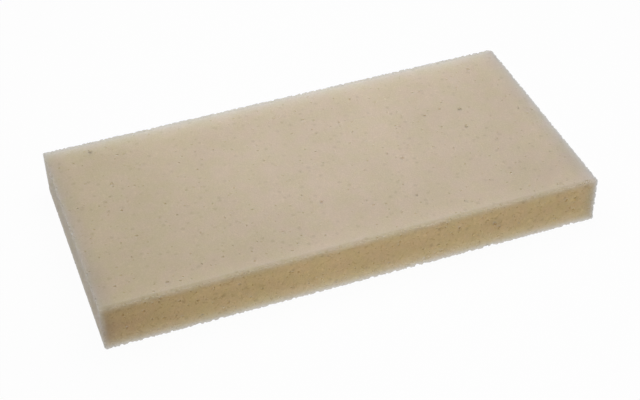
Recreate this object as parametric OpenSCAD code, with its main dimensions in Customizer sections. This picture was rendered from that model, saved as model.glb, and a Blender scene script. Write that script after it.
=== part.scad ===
// Grout sponge: one rectangular slab sawn from a block of open-cell foam.
// The saw opens the larger cells of the foam, so all six faces carry round pits,
// and the cells that lie across an edge leave it ragged.
// The origin is at the middle of the bottom face, with +X along the length and +Z up.

/* [Slab] */
// Length of the slab, along X
slab_length = 280; // [160:1:400]
// Width of the slab, along Y
slab_width = 136; // [80:1:220]
// Thickness of the slab, along Z
slab_thickness = 28; // [15:1:60]

/* [Open cells] */
// Diameter of the smallest cell that shows as a pit
cell_min = 1; // [0.6:0.1:2]
// Diameter of the largest cell
cell_max = 2.4; // [2:0.1:5]
// Mean distance between neighbouring pits on the two broad faces
broad_pitch = 26; // [16:1:60]
// Mean distance between neighbouring pits on the sides and the ends
side_pitch = 14; // [10:1:40]
// Mean distance between neighbouring bites along an edge
edge_pitch = 24; // [12:1:60]
// Furthest that a cell's centre lies above or below the sawn face, as a share of its diameter
cut_spread = 0.3; // [0:0.05:0.4]
// Start value of the scatter
scatter_seed = 11; // [1:1:999]

/* [Colour] */
// Colour of the dry foam
foam_colour = "#C8B69A"; // [#C8B69A:Beige, #D9CBA6:Cream, #E3C66B:Yellow]

/* [Hidden] */
$fn = 24;
slab_size = [slab_length, slab_width, slab_thickness];

// Band beside the edges of a face that is left to the cells of the edges
edge_band = cell_max * (0.5 + cut_spread);
// Least distance between two cells, which leaves a strut of foam between them
strut = cell_max / 4;

// Turn that brings +Z to each face's outward normal, the axes that then run
// across and up the face, the axis of its normal, and the pitch of its pits
FACES = [
    [[0, 0, 0], 0, 1, 2, broad_pitch],
    [[180, 0, 0], 0, 1, 2, broad_pitch],
    [[90, 0, 0], 0, 2, 1, side_pitch],
    [[-90, 0, 0], 0, 2, 1, side_pitch],
    [[0, 90, 0], 2, 1, 0, side_pitch],
    [[0, -90, 0], 2, 1, 0, side_pitch]
];

// Turn that brings +X to each run of four parallel edges, the run's own axis,
// and the two axes across it
EDGE_RUNS = [
    [[0, 0, 0], 0, 1, 2],
    [[0, 0, 90], 1, 2, 0],
    [[0, 90, 0], 2, 0, 1]
];

function unit(axis, amount) = [for (i = [0:2]) i == axis ? amount : 0];

// Number of equal steps of about the given pitch that fill a length
function steps(length, pitch) = max(1, round(length / pitch));

// A number from low to high for a share from 0 to 1
function between(low, high, share) = low + (high - low) * share;

// Place within one step of the scatter, kept clear of the neighbouring steps
function scattered(length, count, index, share) =
    let (step = length / count, free = max(0, step - cell_max - strut))
        -length / 2 + step * (index + 0.5) + free * (share - 0.5);

// One cell of the foam, by its diameter and the place of its centre
module cell(diameter, place) {
    translate(place) sphere(d = diameter);
}

// The cells that a face cuts, one in each tile of a grid that covers the face
module face_cells(across, up, pitch, seed) {
    columns = steps(across, pitch);
    rows = steps(up, pitch);
    share = rands(0, 1, 4 * columns * rows, seed);
    for (column = [0:columns - 1], row = [0:rows - 1]) {
        first = 4 * (column * rows + row);
        diameter = between(cell_min, cell_max, pow(share[first], 2));
        cell(diameter, [
            scattered(across, columns, column, share[first + 1]),
            scattered(up, rows, row, share[first + 2]),
            diameter * between(-cut_spread, cut_spread, share[first + 3])
        ]);
    }
}

// The cells that lie across an edge, in a row along X
module edge_cells(length, seed) {
    count = steps(length, edge_pitch);
    share = rands(0, 1, 4 * count, seed);
    for (index = [0:count - 1]) {
        first = 4 * index;
        diameter = between(cell_min, cell_max, share[first]);
        cell(diameter, [
            scattered(length, count, index, share[first + 1]),
            diameter * between(-cut_spread, cut_spread, share[first + 2]),
            diameter * between(-cut_spread, cut_spread, share[first + 3])
        ]);
    }
}

// All the cells that the saw opened, about the slab's middle
module opened_cells() {
    for (f = [0:len(FACES) - 1]) {
        face = FACES[f];
        rotate(face[0])
            translate([0, 0, slab_size[face[3]] / 2])
                face_cells(
                    slab_size[face[1]] - 2 * edge_band,
                    slab_size[face[2]] - 2 * edge_band,
                    face[4],
                    scatter_seed + f
                );
    }
    for (r = [0:len(EDGE_RUNS) - 1], a = [0, 1], b = [0, 1]) {
        run = EDGE_RUNS[r];
        half_a = unit(run[2], slab_size[run[2]] * (a - 0.5));
        half_b = unit(run[3], slab_size[run[3]] * (b - 0.5));
        translate(half_a + half_b)
            rotate(run[0])
                edge_cells(
                    slab_size[run[1]] - 2 * edge_band,
                    scatter_seed + len(FACES) + 4 * r + 2 * a + b
                );
    }
}

module sponge() {
    color(foam_colour)
        translate([0, 0, slab_thickness / 2])
            difference() {
                cube(slab_size, center = true);
                opened_cells();
            }
}

sponge();
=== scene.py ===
"""Looks of a grout sponge: one slab of open-cell foam on a white studio floor.

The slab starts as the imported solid, whose larger cells are already cut. It is cut down to a
box with worn and frayed edges, and a geometry tree then opens the finer pores in its faces
and the nicks and bites along its edges.
"""

import math

import bmesh
import bpy
import numpy as np
from bpy.props import FloatProperty, FloatVectorProperty, IntProperty, PointerProperty
from mathutils import Matrix, Vector


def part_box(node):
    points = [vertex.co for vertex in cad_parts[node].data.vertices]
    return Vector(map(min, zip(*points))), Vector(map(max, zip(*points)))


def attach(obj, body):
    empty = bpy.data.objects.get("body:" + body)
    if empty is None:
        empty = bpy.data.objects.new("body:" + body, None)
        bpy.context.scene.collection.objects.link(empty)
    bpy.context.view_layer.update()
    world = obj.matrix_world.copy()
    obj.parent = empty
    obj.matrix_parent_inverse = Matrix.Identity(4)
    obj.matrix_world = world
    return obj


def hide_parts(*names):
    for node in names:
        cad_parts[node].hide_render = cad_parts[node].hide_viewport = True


bl_info = {
    "name": "Grout Sponge",
    "version": (1, 0, 0),
    "blender": (4, 5, 0),
    "location": "3D View > Sidebar > Sponge",
    "description": "Builds a slab of open-cell foam and the studio that it lies in",
    "category": "Object",
}

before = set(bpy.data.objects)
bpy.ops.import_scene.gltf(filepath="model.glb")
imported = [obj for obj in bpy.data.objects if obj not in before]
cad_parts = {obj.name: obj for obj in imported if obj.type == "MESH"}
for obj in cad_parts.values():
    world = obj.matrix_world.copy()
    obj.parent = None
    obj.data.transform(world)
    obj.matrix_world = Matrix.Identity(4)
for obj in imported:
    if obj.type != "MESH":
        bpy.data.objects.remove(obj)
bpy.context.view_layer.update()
SLAB_LOW, SLAB_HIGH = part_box("sponge")
SLAB_SIZE = SLAB_HIGH - SLAB_LOW
SLAB_MIDDLE = (SLAB_LOW + SLAB_HIGH) / 2
MM = 0.001

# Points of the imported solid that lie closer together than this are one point
MERGE_REACH = 1e-7
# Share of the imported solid's triangles that the slab keeps
SOLID_DETAIL = 0.12
# How far thinning may move a point off a side of the slab
THINNING_REACH = 0.12 * MM
# Least angle between the two faces of the box that meet in a sawn edge
SAWN_ANGLE = math.radians(80)
# A face whose normal has more than this along one axis is flat, not part of a rounding
FLAT_SHARE = 0.9999
# Fewest faces of a slab whose pores are cut
FEWEST_FACES = 1000

# Steps from the seed to the start of each scatter, and from there to each of its draws
PORE_SEED = 10
NICK_SEED = 20
BITE_SEED = 30
TURN_SEED = 1
STRETCH_SEED = 2
STRAY_SEED = 3

# Stretch of a ball along each of its axes
LEAST_STRETCH = 0.8
MOST_STRETCH = 1.2
# How far the middle of a pore lies outside its face, in diameters of the pore
LEAST_LIFT = 0.02
MOST_LIFT = 0.34
# How far a nick or bite may stray from its place along the edge, in smallest diameters
EDGE_STRAY = 0.4

# Contrast of the noise that frays the edges
FRAY_CONTRAST = 4.0
# Depth below a face over which the fray sets in
FACE_SKIN = 0.05 * MM
# Depth down to which the fray is full, and over which it then fades
FRAY_BAND = 1 * MM
# Depth below a face from which the slab is shaded smooth
SMOOTH_DEPTH = 0.01 * MM

# Name of the map that holds the slab's six unfolded faces, and the gap between them
FACE_MAP = "OFBake"
MAP_GAP = 2 * MM

# Tints that multiply the foam's colour, in the order in which they are laid on
# Painted shade along the rims of the long sides, more along the upper rims, and over the long
# sides towards the left end
RIM_SHADE_TINT = (0.84, 0.84, 0.82)
UPPER_RIM_SHADE_TINT = (0.94, 0.92, 0.92)
LEFT_SIDE_SHADE_TINT = (0.9, 0.86, 0.9)
# Painted shade over the ends and the top beside them, more towards the near side and along the
# fold into the top
END_SHADE_TINT = (0.86, 0.86, 0.9)
NEAR_END_SHADE_TINT = (0.955, 0.96, 0.98)
FOLD_SHADE_TINT = (0.98, 0.945, 0.965)
# Painted cool light on the end faces, with painted shade towards their near corners
END_FACE_LIGHT_TINT = (1.035, 1.035, 1.085)
END_CORNER_SHADE_TINT = (0.92, 0.88, 0.87)
CLOUD_TINT = (0.96, 0.96, 0.95)
PATCH_TINT = (0.97, 1.0, 0.935)
# Painted shade in the hollows of the finest cells and painted highlights on the struts
FINE_CELL_SHADE_TINT = (0.93, 0.93, 0.91)
STRUT_HIGHLIGHT_TINT = (1.05, 1.05, 1.05)
# Painted shade in the dark strokes
STROKE_SHADE_TINT = (0.79, 0.76, 0.68)
# Painted highlights in the pale flecks
FLECK_HIGHLIGHT_TINT = (1.1, 1.1, 1.1)
STRAND_TINT = (0.74, 0.7, 0.64)

# Shares of the edges' colour, partly painted light showing through the thin foam, on the ends and
# right at an edge
END_EDGE_SHARE = 0.45
EDGE_SHARE = 0.35
# Widths of the bands over which the painted shade of the rims, the ends and the corners fades
RIM_BAND = 8 * MM
END_BAND = 13 * MM
END_RIM_BAND = 6 * MM
FOLD_BAND = 4 * MM
CORNER_BAND = 60 * MM
# How far short of a side's rim its painted colour starts, in side depths
RIM_START = 1.2
# Distances from an edge between which its torn strands fade and the pores' painted shade sets in
TORN_START = 0.5 * MM
TORN_END = 2.5 * MM
# Depths below a face at which a pore's painted shade starts, is full, starts to fade and has faded
PORE_DEPTHS = (0.02 * MM, 0.22 * MM, 0.3 * MM, 0.9 * MM)
# How far the outline of a speck of painted shade sways, and how far off the pattern of the pale
# flecks of painted highlight is taken
SPECK_SWAY = 1.3 * MM
FLECK_OFFSET = 0.3

# Relief of the cells: its strength and depth, and the share that the finest cells have in it
RELIEF_STRENGTH = 0.35
RELIEF_DEPTH = 0.3 * MM
FINE_RELIEF = 0.5
# Constants of the foam's shader, by socket
FOAM_FINISH = {
    "Specular IOR Level": 0.15,
    "Subsurface Weight": 1.0,
    "Subsurface Radius": (1.0, 1.0, 1.0),
    "Subsurface Scale": 42 * MM,
    "Sheen Weight": 0.1,
    "Sheen Roughness": 0.6,
}

# Width of the camera's sensor, in millimetres
SENSOR_WIDTH = 36.0
# Gap between the floor and the slab
FLOOR_GAP = 0.1 * MM
# Share of plain white in what the camera sees of the floor, beside its lit surface
FLOOR_WHITE = 0.93


def linear(red, green, blue):
    """Scene colour of a colour given as 8-bit sRGB values."""
    shares = (red / 255, green / 255, blue / 255)
    return tuple(s / 12.92 if s <= 0.04045 else ((s + 0.055) / 1.055) ** 2.4 for s in shares)


class FoamSettings(bpy.types.PropertyGroup):
    """Sizes and colours of the foam."""

    colour: FloatVectorProperty(
        name="Foam", description="Colour of the dry foam", subtype="COLOR",
        size=3, min=0, max=1, default=linear(199, 183, 165),
    )
    # Painted shade: the long sides get a warmer, darker colour than the foam, as where they lie in
    # shade
    side_shade_colour: FloatVectorProperty(
        name="Side", description="Colour of the foam deep in the two long sides", subtype="COLOR",
        size=3, min=0, max=1, default=linear(197, 174, 135),
    )
    # Partly the thin frayed foam's own greyer colour, partly painted light showing through the
    # thin foam at the edges
    thin_edge_glow_colour: FloatVectorProperty(
        name="Edge", description="Colour of the thin foam along the sawn edges", subtype="COLOR",
        size=3, min=0, max=1, default=linear(179, 169, 157),
    )
    # Painted shade inside the pores and the open cells
    pore_shade_tint: FloatVectorProperty(
        name="Pore Tint", description="Colour that the foam is multiplied by inside a pore",
        subtype="COLOR", size=3, min=0, max=1, default=(0.89, 0.87, 0.78),
    )
    # Painted shade of small pores, laid on as soft specks
    speck_shade_tint: FloatVectorProperty(
        name="Speck Tint", description="Colour that the foam is multiplied by over a closed cell",
        subtype="COLOR", size=3, min=0, max=1, default=(0.835, 0.825, 0.8),
    )
    age_tint: FloatVectorProperty(
        name="Age Tint", description="Colour that the foam is multiplied by at its yellowed end",
        subtype="COLOR", size=3, min=0, max=1, default=(0.98, 0.98, 0.92),
    )
    edge_radius: FloatProperty(
        name="Edge Radius", description="How far the sawn edges are worn round",
        unit="LENGTH", default=0.4 * MM, min=0.1 * MM, max=3 * MM,
    )
    worn_corner: FloatProperty(
        name="Worn Corner", description="How far the far right corner of the top is worn off",
        unit="LENGTH", default=3.5 * MM, min=0.5 * MM, max=10 * MM,
    )
    edge_width: FloatProperty(
        name="Edge Width", description="Width of the greyer band along the edges",
        unit="LENGTH", default=4 * MM, min=0.5 * MM, max=20 * MM,
    )
    # Depth below an edge over which the long sides' painted shade sets in
    side_depth: FloatProperty(
        name="Side Depth", description="How far below an edge a long side takes on its colour",
        unit="LENGTH", default=2.2 * MM, min=0.2 * MM, max=14 * MM,
    )
    smallest_pore: FloatProperty(
        name="Smallest Pore", description="Diameter of the smallest pore in a face",
        unit="LENGTH", default=1 * MM, min=0.3 * MM, max=2 * MM,
    )
    largest_pore: FloatProperty(
        name="Largest Pore", description="Diameter of the largest pore in a face",
        unit="LENGTH", default=1.9 * MM, min=0.5 * MM, max=3 * MM,
    )
    pore_gap: FloatProperty(
        name="Pore Gap", description="Least distance between the middles of two pores",
        unit="LENGTH", default=2.3 * MM, min=1 * MM, max=10 * MM,
    )
    broad_density: FloatProperty(
        name="Broad Density", description="Pores per square metre of the two broad faces",
        default=34000, min=0, max=200000,
    )
    side_density: FloatProperty(
        name="Side Density", description="Pores per square metre of the sides and the ends",
        default=90000, min=1, max=200000,
    )
    nick_spacing: FloatProperty(
        name="Nick Spacing", description="Mean distance between the small nicks along an edge",
        unit="LENGTH", default=2.1 * MM, min=1 * MM, max=10 * MM,
    )
    smallest_nick: FloatProperty(
        name="Smallest Nick", description="Diameter of the smallest nick in an edge",
        unit="LENGTH", default=0.6 * MM, min=0.3 * MM, max=2 * MM,
    )
    largest_nick: FloatProperty(
        name="Largest Nick", description="Diameter of the largest nick in an edge",
        unit="LENGTH", default=1.3 * MM, min=0.5 * MM, max=3 * MM,
    )
    bite_spacing: FloatProperty(
        name="Bite Spacing", description="Mean distance between the larger bites along an edge",
        unit="LENGTH", default=4.4 * MM, min=2 * MM, max=30 * MM,
    )
    smallest_bite: FloatProperty(
        name="Smallest Bite", description="Diameter of the smallest bite out of an edge",
        unit="LENGTH", default=1.4 * MM, min=0.5 * MM, max=3 * MM,
    )
    largest_bite: FloatProperty(
        name="Largest Bite", description="Diameter of the largest bite out of an edge",
        unit="LENGTH", default=3.4 * MM, min=1 * MM, max=5 * MM,
    )
    upper_share: FloatProperty(
        name="Upper Share", description="Size of the upper edges' cuts and fray beside the lower",
        default=0.8, min=0.1, max=1,
    )
    fray: FloatProperty(
        name="Fray", description="How far the torn edges stray from a straight line",
        unit="LENGTH", default=0.85 * MM, min=0, max=2 * MM,
    )
    fray_length: FloatProperty(
        name="Fray Length", description="Length of the pieces that a torn edge is divided into",
        unit="LENGTH", default=0.7 * MM, min=0.3 * MM, max=10 * MM,
    )
    seed: IntProperty(
        name="Seed", description="Start value of the scatter of pores, nicks and bites",
        default=5, min=0,
    )


# Settings of the foam that its geometry tree takes as numbers
TREE_SIZES = (
    "smallest_pore", "largest_pore", "pore_gap", "broad_density", "side_density",
    "smallest_nick", "largest_nick", "nick_spacing",
    "smallest_bite", "largest_bite", "bite_spacing",
    "upper_share", "fray",
)


class StageSettings(bpy.types.PropertyGroup):
    """Floor, light and camera."""

    floor_colour: FloatVectorProperty(
        name="Floor", description="Colour of the studio floor", subtype="COLOR",
        size=3, min=0, max=1, default=linear(160, 160, 160),
    )
    floor_size: FloatProperty(
        name="Floor Size", description="Side of the square floor", unit="LENGTH", default=8, min=1,
    )
    floor_glow: FloatProperty(
        name="Floor Glow", description="Brightness of the lit floor that the slab lies on",
        default=0.52, min=0,
    )
    ambient: FloatProperty(
        name="Ambient", description="Brightness of the even light from all round",
        default=0.31, min=0,
    )
    key_power: FloatProperty(
        name="Key Light", description="Power of the soft light above the slab", unit="POWER",
        default=0.97, min=0,
    )
    fill_power: FloatProperty(
        name="Fill Light", description="Power of the soft light on the near side", unit="POWER",
        default=0.078, min=0,
    )
    target: FloatVectorProperty(
        name="Target", description="Point that the camera looks at", subtype="TRANSLATION",
        unit="LENGTH", size=3, default=(-0.0078, -0.0283, 0.0282),
    )
    distance: FloatProperty(
        name="Distance", description="From the camera to its target", unit="LENGTH",
        default=0.7751, min=0.1,
    )
    azimuth: FloatProperty(
        name="Azimuth", description="Turn of the view to the right of the slab's width",
        subtype="ANGLE", default=math.radians(19.36),
    )
    elevation: FloatProperty(
        name="Elevation", description="Height of the camera above the horizon",
        subtype="ANGLE", default=math.radians(40.4),
    )
    roll: FloatProperty(
        name="Roll", description="Turn of the camera about its own line of sight",
        subtype="ANGLE", default=math.radians(-1.34),
    )
    focal_length: FloatProperty(
        name="Focal Length", description="Focal length of the lens, in millimetres",
        default=80.45, min=10,
    )


def feed(tree, socket, value):
    """Links a socket to another one, or sets its value."""
    if isinstance(value, bpy.types.NodeSocket):
        tree.links.new(value, socket)
    else:
        socket.default_value = value


def put(tree, kind, inputs=None, **settings):
    """Adds a node. Inputs are values or sockets to link, by socket name or number."""
    node = tree.nodes.new(kind)
    node.location.x = 180 * len(tree.nodes)
    for name, value in settings.items():
        setattr(node, name, value)
    for key, value in (inputs or {}).items():
        feed(tree, node.inputs[key], value)
    return node


def maths(tree, operation, *values):
    """Output of a Math node on up to three values or sockets."""
    return put(tree, "ShaderNodeMath", dict(enumerate(values)), operation=operation).outputs[0]


def vector_maths(tree, operation, *values):
    """Vector output of a Vector Math node on up to three vectors or sockets."""
    node = put(tree, "ShaderNodeVectorMath", dict(enumerate(values)), operation=operation)
    return node.outputs["Vector"]


def product(tree, first, *others):
    """Product of values or sockets."""
    for other in others:
        first = maths(tree, "MULTIPLY", first, other)
    return first


def ramp(tree, value, low, high, start=0.0, end=1.0):
    """Value eased from start to end as it goes from low to high."""
    inputs = {"Value": value, "From Min": low, "From Max": high, "To Min": start, "To Max": end}
    node = put(tree, "ShaderNodeMapRange", inputs, interpolation_type="SMOOTHSTEP")
    return node.outputs["Result"]


def fall(tree, value, low, high, start=1.0):
    """Value eased from start to 0 as it goes from low to high."""
    return ramp(tree, value, low, high, start, 0.0)


def noise(tree, place, scale, detail):
    """Outputs of a soft noise, with the given number of features per metre."""
    inputs = {"Vector": place, "Scale": scale, "Detail": detail}
    return put(tree, "ShaderNodeTexNoise", inputs).outputs


def cells(tree, place, scale):
    """Outputs of a pattern of cells, with the given number of cells per metre."""
    return put(tree, "ShaderNodeTexVoronoi", {"Vector": place, "Scale": scale}).outputs


def cell_chance(tree, pattern):
    """Random number from 0 to 1 of each cell in a pattern of cells."""
    return put(tree, "ShaderNodeSeparateColor", {0: pattern["Color"]}).outputs["Red"]


def mixed(tree, share, first, second, blend="MIX"):
    """Colour mixed from two colours or sockets."""
    node = put(tree, "ShaderNodeMix", data_type="RGBA", blend_type=blend)
    for name, value in {"Factor": share, "A": first, "B": second}.items():
        feed(tree, next(s for s in node.inputs if s.name == name and s.enabled), value)
    return next(s for s in node.outputs if s.enabled)


def opaque(colour):
    """Colour with full alpha."""
    return (*colour, 1.0)


def insets(tree, position, size, middle):
    """Distances of a position inward: from the nearest face, from the nearest edge, and as a
    vector along the three axes."""
    outward = vector_maths(tree, "ABSOLUTE", vector_maths(tree, "SUBTRACT", position, middle))
    half = vector_maths(tree, "MULTIPLY", size, (0.5,) * 3)
    inward = vector_maths(tree, "SUBTRACT", half, outward)
    along = put(tree, "ShaderNodeSeparateXYZ", {0: inward}).outputs
    low = maths(tree, "MINIMUM", along["X"], along["Y"])
    high = maths(tree, "MAXIMUM", along["X"], along["Y"])
    from_face = maths(tree, "MINIMUM", low, along["Z"])
    from_edge = maths(tree, "MAXIMUM", low, maths(tree, "MINIMUM", high, along["Z"]))
    return from_face, from_edge, inward


def side_share(tree, inset, other, another, depth):
    """How far a position counts as one pair of faces, given its inset from them and from the
    other two pairs, and how far it lies past the rim of those faces."""
    past_rim = maths(tree, "SUBTRACT", maths(tree, "MINIMUM", other, another), inset)
    fade = maths(tree, "DIVIDE", maths(tree, "ADD", past_rim, RIM_START * depth), -depth)
    fade = maths(tree, "MINIMUM", maths(tree, "EXPONENT", fade), 1.0)
    return maths(tree, "SUBTRACT", 1.0, fade), past_rim


class FoamPaint:
    """Colour of the foam, laid on coat by coat in the tree of its material.

    It also holds sockets that say where a point of the slab lies: its place, its distances
    from the faces, the edges and the ends, and how far it counts as a long side or an end.
    """

    def __init__(self, tree, foam):
        self.tree = tree
        self.place = put(tree, "ShaderNodeTexCoord").outputs["Object"]
        self.from_face, self.from_edge, inward = insets(tree, self.place, SLAB_SIZE, SLAB_MIDDLE)
        along = put(tree, "ShaderNodeSeparateXYZ", {0: inward}).outputs
        from_end, from_side, from_broad = (along[axis] for axis in "XYZ")
        depth = foam.side_depth
        self.from_end = from_end
        self.on_side, self.past_rim = side_share(tree, from_side, from_end, from_broad, depth)
        self.on_end, self.past_end_rim = side_share(tree, from_end, from_side, from_broad, depth)
        position = put(tree, "ShaderNodeSeparateXYZ", {0: self.place}).outputs
        self.rightward = position["X"]
        self.backward = position["Y"]
        self.height = ramp(tree, position["Z"], SLAB_LOW.z, SLAB_HIGH.z)
        # The long sides take on their painted shade
        self.colour = mixed(tree, self.on_side, opaque(foam.colour), opaque(foam.side_shade_colour))

    def tint(self, tint, *shares):
        """Multiplies the colour by a tint, as far as the product of the shares says."""
        share = product(self.tree, *shares)
        self.colour = mixed(self.tree, share, self.colour, opaque(tint), "MULTIPLY")

    def cover(self, colour, *shares):
        """Covers the colour with another one, as far as the product of the shares says."""
        share = product(self.tree, *shares)
        self.colour = mixed(self.tree, share, self.colour, opaque(colour))

    def brighten(self, factor):
        """Multiplies the colour by a number that changes over the surface."""
        self.colour = mixed(self.tree, 1.0, self.colour, factor, "MULTIPLY")

    def by_side(self, elsewhere, on_side):
        """Number that has one value on the long sides and another one elsewhere."""
        return maths(self.tree, "MULTIPLY_ADD", self.on_side, on_side - elsewhere, elsewhere)


def shade_sides(paint, foam):
    """Yellows the slab towards its left end, and paints shade along the rims of its long sides,
    more along the upper rims, and over the long sides towards the left end.
    """
    tree = paint.tree
    paint.tint(foam.age_tint, fall(tree, paint.rightward, SLAB_LOW.x, SLAB_MIDDLE.x))
    # Painted shade along the rims of the long sides
    rim = product(tree, paint.on_side, fall(tree, paint.past_rim, 0.0, RIM_BAND))
    paint.tint(RIM_SHADE_TINT, rim)
    paint.tint(UPPER_RIM_SHADE_TINT, rim, paint.height)
    by_left = fall(tree, paint.rightward, SLAB_LOW.x, SLAB_LOW.x + CORNER_BAND)
    paint.tint(LEFT_SIDE_SHADE_TINT, paint.on_side, by_left)


def shade_ends(paint, foam):
    """Paints shade over the two ends and the top beside them and at the near corners, and cool
    light on the end faces; greys the ends and all edges with a colour that is partly painted
    light.
    """
    tree = paint.tree
    by_end = product(
        tree, fall(tree, paint.from_end, 0.0, END_BAND),
        fall(tree, paint.past_end_rim, 0.0, END_RIM_BAND),
    )
    paint.tint(END_SHADE_TINT, by_end)
    paint.tint(NEAR_END_SHADE_TINT, by_end, fall(tree, paint.backward, SLAB_LOW.y, SLAB_HIGH.y))
    off_fold = maths(tree, "ABSOLUTE", paint.past_end_rim)
    paint.tint(FOLD_SHADE_TINT, fall(tree, off_fold, 0.0, FOLD_BAND))
    past_fold = ramp(tree, paint.past_end_rim, 0.0, FOLD_BAND)
    paint.tint(END_FACE_LIGHT_TINT, past_fold)
    by_corner = fall(tree, paint.backward, SLAB_LOW.y, SLAB_LOW.y + CORNER_BAND)
    paint.tint(END_CORNER_SHADE_TINT, past_fold, by_corner)
    # The edges' colour, partly painted light showing through the thin foam, on the ends and along
    # all edges
    paint.cover(foam.thin_edge_glow_colour, paint.on_end, END_EDGE_SHARE)
    paint.cover(foam.thin_edge_glow_colour, fall(tree, paint.from_edge, 0.0, foam.edge_width, EDGE_SHARE))


def mottle_foam(paint, grain, open_cells, fine_cells):
    """Varies the colour all over: clouds, yellow patches and grain, painted shade in the finest
    cells and painted highlights on the struts.
    """
    tree = paint.tree
    clouds = noise(tree, paint.place, scale=28.0, detail=3.0)["Fac"]
    paint.tint(CLOUD_TINT, ramp(tree, clouds, low=0.3, high=0.7))
    patches = noise(tree, paint.place, scale=100.0, detail=2.0)["Fac"]
    paint.tint(PATCH_TINT, ramp(tree, patches, low=0.35, high=0.65))
    # Painted shade in the hollows of the finest cells
    paint.tint(FINE_CELL_SHADE_TINT, fall(tree, fine_cells["Distance"], low=0.1, high=0.6))
    swing = ramp(tree, grain, low=0.3, high=0.7, start=-1.0, end=1.0)
    reach = paint.by_side(elsewhere=0.01, on_side=0.04)
    paint.brighten(maths(tree, "MULTIPLY_ADD", reach, swing, 1.0))
    # Painted highlights on the struts between the open cells
    paint.tint(STRUT_HIGHLIGHT_TINT, ramp(tree, open_cells["Distance"], low=0.5, high=0.8))


def soft_specks(tree, place):
    """Share of an uneven soft speck at a place, from a scatter of cells; it masks painted shade of
    pores and, shifted, painted highlights.
    """
    swirl = noise(tree, place, scale=600.0, detail=1.0)["Color"]
    sway = vector_maths(tree, "SUBTRACT", swirl, (0.5,) * 3)
    bent = vector_maths(tree, "MULTIPLY_ADD", sway, (SPECK_SWAY,) * 3, place)
    spots = cells(tree, bent, scale=240.0)
    chance = ramp(tree, cell_chance(tree, spots), low=0.35, high=0.9)
    return product(tree, fall(tree, spots["Distance"], low=0.1, high=0.4), chance)


def mark_foam(paint, foam, grain, open_cells):
    """Marks single cells: specks, winding strokes and open pores of painted shade, pale flecks of
    painted highlight, and torn strands.
    """
    tree = paint.tree
    # Painted shade of small pores, as soft specks, stronger on the long sides
    specks = soft_specks(tree, paint.place)
    paint.tint(foam.speck_shade_tint, specks, paint.by_side(elsewhere=0.7, on_side=1.1))

    # Painted shade in winding dark strokes, mostly on the long sides
    winding = noise(tree, paint.place, scale=210.0, detail=1.0)["Fac"]
    off_line = maths(tree, "ABSOLUTE", maths(tree, "SUBTRACT", winding, 0.5))
    strokes = fall(tree, off_line, low=0.0, high=0.07)
    broken = ramp(tree, grain, low=0.52, high=0.62)
    paint.tint(STROKE_SHADE_TINT, strokes, broken, paint.by_side(elsewhere=0.1, on_side=0.9))

    # Painted highlights in pale flecks beside the specks
    beside = vector_maths(tree, "ADD", paint.place, (FLECK_OFFSET,) * 3)
    flecks = soft_specks(tree, beside)
    paint.tint(FLECK_HIGHLIGHT_TINT, flecks, paint.by_side(elsewhere=0.4, on_side=0.9))

    tangle = noise(tree, paint.place, scale=900.0, detail=1.0)["Fac"]
    strands = ramp(tree, tangle, low=0.48, high=0.66)
    by_edge = fall(tree, paint.from_edge, TORN_START, TORN_END)
    paint.tint(STRAND_TINT, strands, by_edge, maths(tree, "SUBTRACT", 1.0, paint.height))

    # Painted shade inside the open cells
    openings = fall(tree, open_cells["Distance"], low=0.1, high=0.5)
    chance = ramp(tree, cell_chance(tree, open_cells), low=0.6, high=1.0, start=0.0, end=0.3)
    paint.tint(foam.pore_shade_tint, openings, chance)

    # Painted shade inside the cut pores, less in their deepest parts
    start, full, fading, faded = PORE_DEPTHS
    in_pore = product(
        tree, ramp(tree, paint.from_face, start, full),
        ramp(tree, paint.from_edge, TORN_START, TORN_END),
    )
    shallow = fall(tree, paint.from_face, fading, faded)
    paint.tint(foam.pore_shade_tint, in_pore, paint.by_side(elsewhere=1.0, on_side=0.9), shallow)


def foam_material(foam):
    """Matt open-cell foam: painted shade makes the long sides warm and the pores darker, and the
    grey along the edges is partly painted light.
    """
    material = bpy.data.materials.new("open_cell_foam")
    material.use_nodes = True
    tree = material.node_tree
    shader = tree.nodes["Principled BSDF"]
    paint = FoamPaint(tree, foam)
    grain = noise(tree, paint.place, scale=400.0, detail=2.0)["Fac"]
    open_cells = cells(tree, paint.place, scale=1150.0)
    fine_cells = cells(tree, paint.place, scale=2300.0)
    shade_sides(paint, foam)
    shade_ends(paint, foam)
    mottle_foam(paint, grain, open_cells, fine_cells)
    mark_foam(paint, foam, grain, open_cells)
    tree.links.new(paint.colour, shader.inputs["Base Color"])

    fine_height, open_height = fine_cells["Distance"], open_cells["Distance"]
    relief = maths(tree, "MULTIPLY_ADD", fine_height, FINE_RELIEF, open_height)
    inputs = {"Strength": RELIEF_STRENGTH, "Distance": RELIEF_DEPTH, "Height": relief}
    bump = put(tree, "ShaderNodeBump", inputs)
    tree.links.new(bump.outputs["Normal"], shader.inputs["Normal"])
    roughness = ramp(tree, open_height, low=0.0, high=0.8, start=0.98, end=0.86)
    tree.links.new(roughness, shader.inputs["Roughness"])
    for name, value in FOAM_FINISH.items():
        shader.inputs[name].default_value = value
    return material


def divide_edges(body, length):
    """Divides the long edges of the box into short lengths, and keeps its six faces whole."""
    lines = ([], [], [])
    for edge in body.edges:
        steps = [abs(part) for part in edge.verts[1].co - edge.verts[0].co]
        axis = steps.index(max(steps))
        if steps[axis] > SLAB_SIZE[axis] / 2:
            lines[axis].append(edge)
    for axis, edges in enumerate(lines):
        bmesh.ops.subdivide_edges(body, edges=edges, cuts=round(SLAB_SIZE[axis] / length))
    body.normal_update()
    flat = {face for face in body.faces if max(abs(part) for part in face.normal) > FLAT_SHARE}
    crossings = [edge for edge in body.edges if flat.issuperset(edge.link_faces)]
    bmesh.ops.dissolve_edges(body, edges=crossings, use_verts=False)


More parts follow.
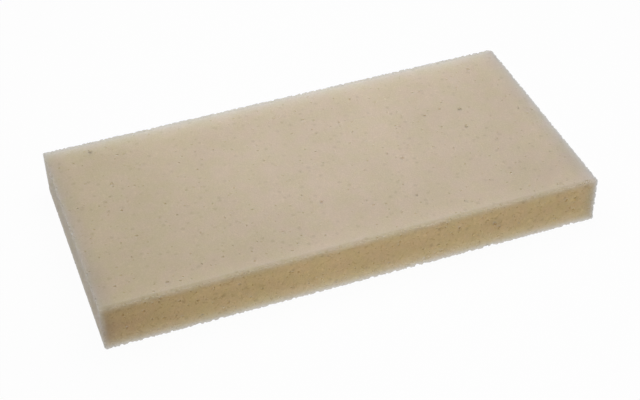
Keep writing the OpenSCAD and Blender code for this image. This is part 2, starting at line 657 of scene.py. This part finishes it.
def rounded_slab(foam):
    """Mesh of the slab's box with one worn corner and rounded edges in short lengths."""
    body = bmesh.new()
    place = Matrix.Translation(SLAB_MIDDLE) @ Matrix.Diagonal((*SLAB_SIZE, 1.0))
    bmesh.ops.create_cube(body, size=1.0, matrix=place)
    rounding = {"offset_type": "OFFSET", "segments": 3, "profile": 0.5}
    corner = max(body.verts, key=lambda vertex: sum(vertex.co))
    bmesh.ops.bevel(body, geom=[corner], offset=foam.worn_corner, affect="VERTICES", **rounding)
    body.normal_update()
    sawn = [edge for edge in body.edges if edge.calc_face_angle() > SAWN_ANGLE]
    bmesh.ops.bevel(body, geom=sawn, offset=foam.edge_radius, affect="EDGES", **rounding)
    divide_edges(body, foam.fray_length)
    mesh = bpy.data.meshes.new("foam_slab")
    body.to_mesh(mesh)
    body.free()
    return mesh


def sawn_slab():
    """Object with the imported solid's mesh, merged and thinned, whose larger cells are cut."""
    body = bmesh.new()
    body.from_mesh(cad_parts["sponge"].data)
    bmesh.ops.remove_doubles(body, verts=body.verts, dist=MERGE_REACH)
    mesh = bpy.data.meshes.new("sawn_slab")
    body.to_mesh(mesh)
    body.free()
    sawn = bpy.data.objects.new("sawn_slab", mesh)
    bpy.context.scene.collection.objects.link(sawn)
    thinner = sawn.modifiers.new("Thin", "DECIMATE")
    thinner.ratio = SOLID_DETAIL
    depsgraph = bpy.context.evaluated_depsgraph_get()
    sawn.data = bpy.data.meshes.new_from_object(sawn.evaluated_get(depsgraph))
    sawn.modifiers.remove(thinner)
    flatten_sides(sawn.data)
    return sawn


def points_of(mesh):
    """Places of a mesh's points, one row each."""
    places = np.empty(len(mesh.vertices) * 3, np.float32)
    mesh.vertices.foreach_get("co", places)
    return places.reshape(-1, 3)


def flatten_sides(mesh):
    """Puts the points that thinning moved off a side of the slab back onto it."""
    places = points_of(mesh)
    for side in (np.array(SLAB_LOW), np.array(SLAB_HIGH)):
        places = np.where(np.abs(places - side) < THINNING_REACH, side, places)
    mesh.vertices.foreach_set("co", places.astype(np.float32).ravel())


# The Random Value node has a pair of sockets and an output for each kind of value, and the
# kinds share their names, so they are told apart by number
def random_number(tree, low, high, seed):
    """Field of random numbers from low to high."""
    inputs = {2: low, 3: high, "Seed": seed}
    return put(tree, "FunctionNodeRandomValue", inputs, data_type="FLOAT").outputs[1]


def random_vector(tree, low, high, seed):
    """Field of random vectors whose parts run from low to high."""
    inputs = {0: (low,) * 3, 1: (high,) * 3, "Seed": seed}
    return put(tree, "FunctionNodeRandomValue", inputs, data_type="FLOAT_VECTOR").outputs[0]


def random_size(tree, smallest, largest, seed):
    """Field of random diameters, with more small ones than large ones."""
    share = maths(tree, "POWER", random_number(tree, 0.0, 1.0, seed), 2.0)
    spread = maths(tree, "SUBTRACT", largest, smallest)
    return maths(tree, "MULTIPLY_ADD", spread, share, smallest)


def position_field(tree):
    """Field of the points' places."""
    return put(tree, "GeometryNodeInputPosition").outputs[0]


def moved(tree, geometry, offset):
    """Geometry whose points are moved by an offset."""
    inputs = {"Geometry": geometry, "Offset": offset}
    return put(tree, "GeometryNodeSetPosition", inputs).outputs[0]


def balls_at(tree, points, diameter, seed):
    """Uneven balls of the given diameters at points."""
    ball = put(tree, "GeometryNodeMeshIcoSphere", {"Radius": 0.5, "Subdivisions": 1})
    turn = random_vector(tree, 0.0, math.tau, maths(tree, "ADD", seed, TURN_SEED))
    stretch_seed = maths(tree, "ADD", seed, STRETCH_SEED)
    stretch = random_vector(tree, LEAST_STRETCH, MOST_STRETCH, stretch_seed)
    node = put(tree, "GeometryNodeInstanceOnPoints", {
        "Points": points,
        "Instance": ball.outputs["Mesh"],
        "Rotation": put(tree, "FunctionNodeEulerToRotation", {0: turn}).outputs[0],
        "Scale": vector_maths(tree, "MULTIPLY", stretch, diameter),
    })
    return node.outputs["Instances"]


def face_pores(tree, given, box):
    """Balls that open the pores of the six faces, clear of the edges."""
    normal = put(tree, "GeometryNodeInputNormal").outputs[0]
    upright = put(tree, "ShaderNodeSeparateXYZ", {0: normal}).outputs["Z"]
    is_broad = maths(tree, "GREATER_THAN", maths(tree, "ABSOLUTE", upright), 0.5)
    ratio = maths(tree, "DIVIDE", given["Broad Density"], given["Side Density"])
    lack = maths(tree, "SUBTRACT", ratio, 1.0)
    scatter = put(tree, "GeometryNodeDistributePointsOnFaces", {
        "Mesh": box,
        "Distance Min": given["Pore Gap"],
        "Density Max": given["Side Density"],
        "Density Factor": maths(tree, "MULTIPLY_ADD", is_broad, lack, 1.0),
        "Seed": given["Seed"],
    }, distribute_method="POISSON").outputs

    from_edge = insets(tree, position_field(tree), given["Slab Size"], given["Slab Middle"])[1]
    margin = maths(tree, "ADD", given["Largest Pore"], given["Largest Nick"])
    near_edge = maths(tree, "LESS_THAN", from_edge, maths(tree, "MULTIPLY", margin, 0.5))
    inputs = {"Geometry": scatter["Points"], "Selection": near_edge}
    kept = put(tree, "GeometryNodeDeleteGeometry", inputs, domain="POINT").outputs[0]

    seed = maths(tree, "ADD", given["Seed"], PORE_SEED)
    diameter = random_size(tree, given["Smallest Pore"], given["Largest Pore"], seed)
    lift_seed = maths(tree, "ADD", seed, STRAY_SEED)
    lift = maths(tree, "MULTIPLY", diameter, random_number(tree, LEAST_LIFT, MOST_LIFT, lift_seed))
    lifted = moved(tree, kept, vector_maths(tree, "MULTIPLY", scatter["Normal"], lift))
    return balls_at(tree, lifted, diameter, seed)


def upper_scale(tree, given, place):
    """1 in the lower half of the slab and the upper edges' share in its upper half."""
    from_middle = vector_maths(tree, "SUBTRACT", place, given["Slab Middle"])
    height = put(tree, "ShaderNodeSeparateXYZ", {0: from_middle}).outputs["Z"]
    is_upper = maths(tree, "GREATER_THAN", height, 0.0)
    lack = maths(tree, "SUBTRACT", given["Upper Share"], 1.0)
    return maths(tree, "MULTIPLY_ADD", is_upper, lack, 1.0)


def edge_cuts(tree, given, box, kind, seed_step):
    """Balls in a row along each of the twelve edges, clear of each other, for nicks or bites."""
    spacing = given[f"{kind} Spacing"]
    smallest = given[f"Smallest {kind}"]
    largest = given[f"Largest {kind}"]
    seed = maths(tree, "ADD", given["Seed"], seed_step)
    lines = put(tree, "GeometryNodeMeshToCurve", {"Mesh": box}).outputs["Curve"]
    length = put(tree, "GeometryNodeSplineLength").outputs["Length"]
    # Sockets 4 and 5 are the start and the end as lengths
    inputs = {"Curve": lines, 4: spacing, 5: maths(tree, "SUBTRACT", length, spacing)}
    trimmed = put(tree, "GeometryNodeTrimCurve", inputs, mode="LENGTH").outputs["Curve"]
    inputs = {"Curve": trimmed, "Length": spacing}
    points = put(tree, "GeometryNodeCurveToPoints", inputs, mode="LENGTH").outputs["Points"]

    room = maths(tree, "MULTIPLY_ADD", largest, -MOST_STRETCH, spacing)
    room = maths(tree, "MULTIPLY", room, 0.5)
    reach = maths(tree, "MINIMUM", room, maths(tree, "MULTIPLY", smallest, EDGE_STRAY))
    stray = random_vector(tree, -1.0, 1.0, maths(tree, "ADD", seed, STRAY_SEED))
    strayed = moved(tree, points, vector_maths(tree, "MULTIPLY", stray, reach))
    scale = upper_scale(tree, given, position_field(tree))
    diameter = maths(tree, "MULTIPLY", random_size(tree, smallest, largest, seed), scale)
    return balls_at(tree, strayed, diameter, seed)


def clamped(tree, vector, low, high):
    """Vector whose parts are kept between two numbers."""
    lowered = vector_maths(tree, "MINIMUM", vector, (high,) * 3)
    return vector_maths(tree, "MAXIMUM", lowered, (low,) * 3)


def frayed(tree, given):
    """Rounded slab whose edges stray unevenly from their lines, with its faces kept flat."""
    place = position_field(tree)
    inward = insets(tree, place, given["Slab Size"], given["Slab Middle"])[2]
    waves = noise(tree, place, scale=550.0, detail=2.0)["Color"]
    sway = vector_maths(
        tree, "MULTIPLY_ADD", waves, (FRAY_CONTRAST,) * 3, (-0.5 * FRAY_CONTRAST,) * 3
    )
    # A point that lies on a face doesn't leave it, and none moves along its edge
    off_face = vector_maths(tree, "MULTIPLY", inward, (1 / FACE_SKIN,) * 3)
    by_face = vector_maths(tree, "MULTIPLY_ADD", inward, (-1 / FRAY_BAND,) * 3, (2.0,) * 3)
    free = vector_maths(
        tree, "MULTIPLY", clamped(tree, off_face, 0.0, 1.0), clamped(tree, by_face, 0.0, 1.0)
    )
    offset = vector_maths(tree, "MULTIPLY", clamped(tree, sway, -1.0, 1.0), free)
    reach = maths(tree, "MULTIPLY", given["Fray"], upper_scale(tree, given, place))
    return moved(tree, given["Rounded Slab"], vector_maths(tree, "MULTIPLY", offset, reach))


def input_name(setting):
    """Name of the geometry tree's input for a setting."""
    return setting.replace("_", " ").title()


def open_pores_tree():
    """Geometry tree that frays the rounded slab and gives it its cells, pores, nicks and bites."""
    tree = bpy.data.node_groups.new("Open pores", "GeometryNodeTree")
    tree.is_modifier = True
    kinds = {
        "Rounded Slab": "NodeSocketGeometry",
        "Sawn Slab": "NodeSocketObject",
        "Slab Size": "NodeSocketVector",
        "Slab Middle": "NodeSocketVector",
        **{input_name(setting): "NodeSocketFloat" for setting in TREE_SIZES},
        "Seed": "NodeSocketInt",
        "Foam": "NodeSocketMaterial",
    }
    for name, kind in kinds.items():
        tree.interface.new_socket(name, in_out="INPUT", socket_type=kind)
    tree.interface.new_socket("Foam Slab", in_out="OUTPUT", socket_type="NodeSocketGeometry")
    given = put(tree, "NodeGroupInput").outputs

    cube = put(tree, "GeometryNodeMeshCube", {"Size": given["Slab Size"]}).outputs["Mesh"]
    inputs = {"Geometry": cube, "Translation": given["Slab Middle"]}
    box = put(tree, "GeometryNodeTransform", inputs).outputs[0]
    bites = edge_cuts(tree, given, box, "Bite", BITE_SEED)
    fine = put(tree, "GeometryNodeJoinGeometry")
    tree.links.new(face_pores(tree, given, box), fine.inputs[0])
    tree.links.new(edge_cuts(tree, given, box, "Nick", NICK_SEED), fine.inputs[0])

    sawn = put(tree, "GeometryNodeObjectInfo", {"Object": given["Sawn Slab"]})
    common = put(tree, "GeometryNodeMeshBoolean", operation="INTERSECT", solver="MANIFOLD")
    tree.links.new(frayed(tree, given), common.inputs["Mesh 2"])
    tree.links.new(sawn.outputs["Geometry"], common.inputs["Mesh 2"])
    cut = common.outputs["Mesh"]
    for balls in (bites, fine.outputs[0]):
        cutters = put(tree, "GeometryNodeRealizeInstances", {"Geometry": balls}).outputs[0]
        cut = put(tree, "GeometryNodeMeshBoolean", {
            "Mesh 1": cut, "Mesh 2": cutters,
        }, operation="DIFFERENCE", solver="MANIFOLD").outputs["Mesh"]

    from_face = insets(tree, position_field(tree), given["Slab Size"], given["Slab Middle"])[0]
    smooth = put(tree, "GeometryNodeSetShadeSmooth", {
        "Geometry": cut,
        "Shade Smooth": maths(tree, "GREATER_THAN", from_face, SMOOTH_DEPTH),
    }, domain="FACE")
    real = put(tree, "GeometryNodeRealizeInstances", {"Geometry": smooth.outputs[0]})
    inputs = {"Geometry": real.outputs[0], "Material": given["Foam"]}
    painted = put(tree, "GeometryNodeSetMaterial", inputs)
    put(tree, "NodeGroupOutput", {0: painted.outputs[0]})
    return tree


def set_inputs(modifier, values):
    """Sets a geometry tree's named inputs on its modifier."""
    sockets = modifier.node_group.interface.items_tree
    keys = {s.name: s.identifier for s in sockets if s.in_out == "INPUT"}
    for name, value in values.items():
        modifier[keys[name]] = value


def unfold_faces(mesh):
    """Map of the slab's six faces laid out as rectangles, each pore seen from its own face."""
    corner_count = len(mesh.loops)
    faces = np.repeat(
        np.arange(len(mesh.polygons)), np.array([p.loop_total for p in mesh.polygons])
    )
    vertices = np.empty(corner_count, np.int32)
    mesh.loops.foreach_get("vertex_index", vertices)
    places = points_of(mesh) - np.array(SLAB_LOW)
    middles = np.array([p.center for p in mesh.polygons]) - np.array(SLAB_MIDDLE)
    size = np.array(SLAB_SIZE)
    axis = np.argmin(size / 2 - np.abs(middles), axis=1)
    upper = middles[np.arange(len(axis)), axis] > 0

    width, thickness = size[1:]
    side_row = 2 * (width + MAP_GAP)
    end_row = side_row + 2 * (thickness + MAP_GAP)
    full = end_row + thickness
    # For each axis: the two axes that run across and up the map, and where the lower and
    # the upper face start on it
    layout = {
        2: (0, 1, (0.0, 0.0), (0.0, width + MAP_GAP)),
        1: (0, 2, (0.0, side_row), (0.0, side_row + thickness + MAP_GAP)),
        0: (1, 2, (0.0, end_row), (width + MAP_GAP, end_row)),
    }
    unfolded = np.empty((corner_count, 2), np.float32)
    for normal, (across, up, low_start, high_start) in layout.items():
        for is_upper, start in ((False, low_start), (True, high_start)):
            chosen = (axis[faces] == normal) & (upper[faces] == is_upper)
            at = places[vertices[chosen]]
            unfolded[chosen] = at[:, (across, up)] + np.array(start)
    layer = mesh.uv_layers.new(name=FACE_MAP)
    layer.uv.foreach_set("vector", (unfolded / full).ravel())


class SPONGE_OT_foam_slab(bpy.types.Operator):
    """Make the slab of open-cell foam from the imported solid"""

    bl_idname = "sponge.foam_slab"
    bl_label = "Foam Slab"

    def execute(self, context):
        foam = context.scene.sponge_foam
        sawn = sawn_slab()
        slab = bpy.data.objects.new("foam_slab", rounded_slab(foam))
        context.scene.collection.objects.link(slab)
        modifier = slab.modifiers.new("Open pores", "NODES")
        modifier.node_group = open_pores_tree()
        set_inputs(modifier, {
            "Sawn Slab": sawn,
            "Slab Size": SLAB_SIZE,
            "Slab Middle": SLAB_MIDDLE,
            **{input_name(setting): getattr(foam, setting) for setting in TREE_SIZES},
            "Seed": foam.seed,
            "Foam": foam_material(foam),
        })
        depsgraph = context.evaluated_depsgraph_get()
        mesh = bpy.data.meshes.new_from_object(slab.evaluated_get(depsgraph))
        slab.modifiers.remove(modifier)
        slab.data = mesh
        bpy.data.objects.remove(sawn)
        if len(mesh.polygons) < FEWEST_FACES:
            raise RuntimeError("the pores were not cut")
        unfold_faces(mesh)
        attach(slab, "root")
        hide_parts("sponge")
        return {"FINISHED"}


def seen_ray(tree):
    """1 for a ray that shows what it meets, straight or by gloss or glass, and 0 for light."""
    path = put(tree, "ShaderNodeLightPath").outputs
    mirrored = maths(tree, "MAXIMUM", path["Is Glossy Ray"], path["Is Transmission Ray"])
    return maths(tree, "MAXIMUM", path["Is Camera Ray"], mirrored)


def floor_material(stage):
    """White that glows softly and takes a shadow, and shows nearly plain white to the camera."""
    material = bpy.data.materials.new("studio_white")
    material.use_nodes = True
    tree = material.node_tree
    tree.nodes.clear()
    matt = put(tree, "ShaderNodeBsdfDiffuse", {"Color": opaque(stage.floor_colour)})
    glow = put(tree, "ShaderNodeEmission", {"Strength": stage.floor_glow})
    lit = put(tree, "ShaderNodeAddShader", {0: matt.outputs[0], 1: glow.outputs[0]})
    white = put(tree, "ShaderNodeEmission", {"Strength": 1.0})
    share = maths(tree, "MULTIPLY", seen_ray(tree), FLOOR_WHITE)
    shown = put(tree, "ShaderNodeMixShader", {0: share, 1: lit.outputs[0], 2: white.outputs[0]})
    put(tree, "ShaderNodeOutputMaterial", {"Surface": shown.outputs[0]})
    return material


def studio_floor(stage):
    """Square floor just below the slab."""
    half = stage.floor_size / 2
    corners = [(-half, -half, 0.0), (half, -half, 0.0), (half, half, 0.0), (-half, half, 0.0)]
    mesh = bpy.data.meshes.new("studio_floor")
    mesh.from_pydata(corners, [], [(0, 1, 2, 3)])
    mesh.materials.append(floor_material(stage))
    floor = bpy.data.objects.new("studio_floor", mesh)
    floor.location.z = SLAB_LOW.z - FLOOR_GAP
    bpy.context.scene.collection.objects.link(floor)


def studio_world(stage):
    """Even white light from all round, with a white backdrop."""
    world = bpy.data.worlds.new("studio")
    world.use_nodes = True
    tree = world.node_tree
    rest = 1.0 - stage.ambient
    strength = maths(tree, "MULTIPLY_ADD", seen_ray(tree), rest, stage.ambient)
    background = tree.nodes["Background"]
    background.inputs["Color"].default_value = opaque((1.0, 1.0, 1.0))
    tree.links.new(strength, background.inputs["Strength"])
    bpy.context.scene.world = world


def soft_light(name, place, size, power):
    """Square white light at a place, aimed at the slab."""
    lamp = bpy.data.lights.new(name, "AREA")
    lamp.size = size
    lamp.energy = power
    light = bpy.data.objects.new(name, lamp)
    light.visible_camera = False
    light.location = place
    light.rotation_euler = (SLAB_MIDDLE - Vector(place)).to_track_quat("-Z", "Y").to_euler()
    bpy.context.scene.collection.objects.link(light)


def studio_camera(stage):
    """Camera that looks down on the slab from beyond its near long side."""
    lens = bpy.data.cameras.new("camera")
    lens.lens = stage.focal_length
    lens.sensor_width = SENSOR_WIDTH
    camera = bpy.data.objects.new("camera", lens)
    level = math.cos(stage.elevation)
    back = Vector((
        -math.sin(stage.azimuth) * level,
        -math.cos(stage.azimuth) * level,
        math.sin(stage.elevation),
    ))
    aim = (-back).to_track_quat("-Z", "Y").to_matrix().to_4x4()
    place = Matrix.Translation(Vector(stage.target) + back * stage.distance)
    camera.matrix_world = place @ aim @ Matrix.Rotation(stage.roll, 4, "Z")
    bpy.context.scene.collection.objects.link(camera)
    bpy.context.scene.camera = camera


class SPONGE_OT_stage(bpy.types.Operator):
    """Set up the floor, the light and the camera"""

    bl_idname = "sponge.stage"
    bl_label = "Stage"

    def execute(self, context):
        stage = context.scene.sponge_stage
        studio_floor(stage)
        studio_world(stage)
        soft_light("key_light", place=(0.03, 0.065, 0.36), size=0.3, power=stage.key_power)
        soft_light("fill_light", place=(0.05, -0.3, 0.06), size=0.1, power=stage.fill_power)
        studio_camera(stage)
        context.scene.view_settings.view_transform = "Standard"
        return {"FINISHED"}


class SPONGE_PT_panel(bpy.types.Panel):
    """Settings and buttons of the grout sponge"""

    bl_idname = "SPONGE_PT_panel"
    bl_label = "Grout Sponge"
    bl_space_type = "VIEW_3D"
    bl_region_type = "UI"
    bl_category = "Sponge"

    def draw(self, context):
        for group, operator in (
            (context.scene.sponge_foam, SPONGE_OT_foam_slab),
            (context.scene.sponge_stage, SPONGE_OT_stage),
        ):
            for name in group.__annotations__:
                self.layout.prop(group, name)
            self.layout.operator(operator.bl_idname)


CLASSES = (FoamSettings, StageSettings, SPONGE_OT_foam_slab, SPONGE_OT_stage, SPONGE_PT_panel)


def register():
    """Adds the classes to Blender and their settings to the scene."""
    for kind in CLASSES:
        bpy.utils.register_class(kind)
    bpy.types.Scene.sponge_foam = PointerProperty(type=FoamSettings)
    bpy.types.Scene.sponge_stage = PointerProperty(type=StageSettings)


def unregister():
    """Takes the settings and the classes out again."""
    del bpy.types.Scene.sponge_stage
    del bpy.types.Scene.sponge_foam
    for kind in reversed(CLASSES):
        bpy.utils.unregister_class(kind)


def main():
    """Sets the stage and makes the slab."""
    register()
    bpy.ops.sponge.stage()
    bpy.ops.sponge.foam_slab()


if __name__ == "__main__":
    main()
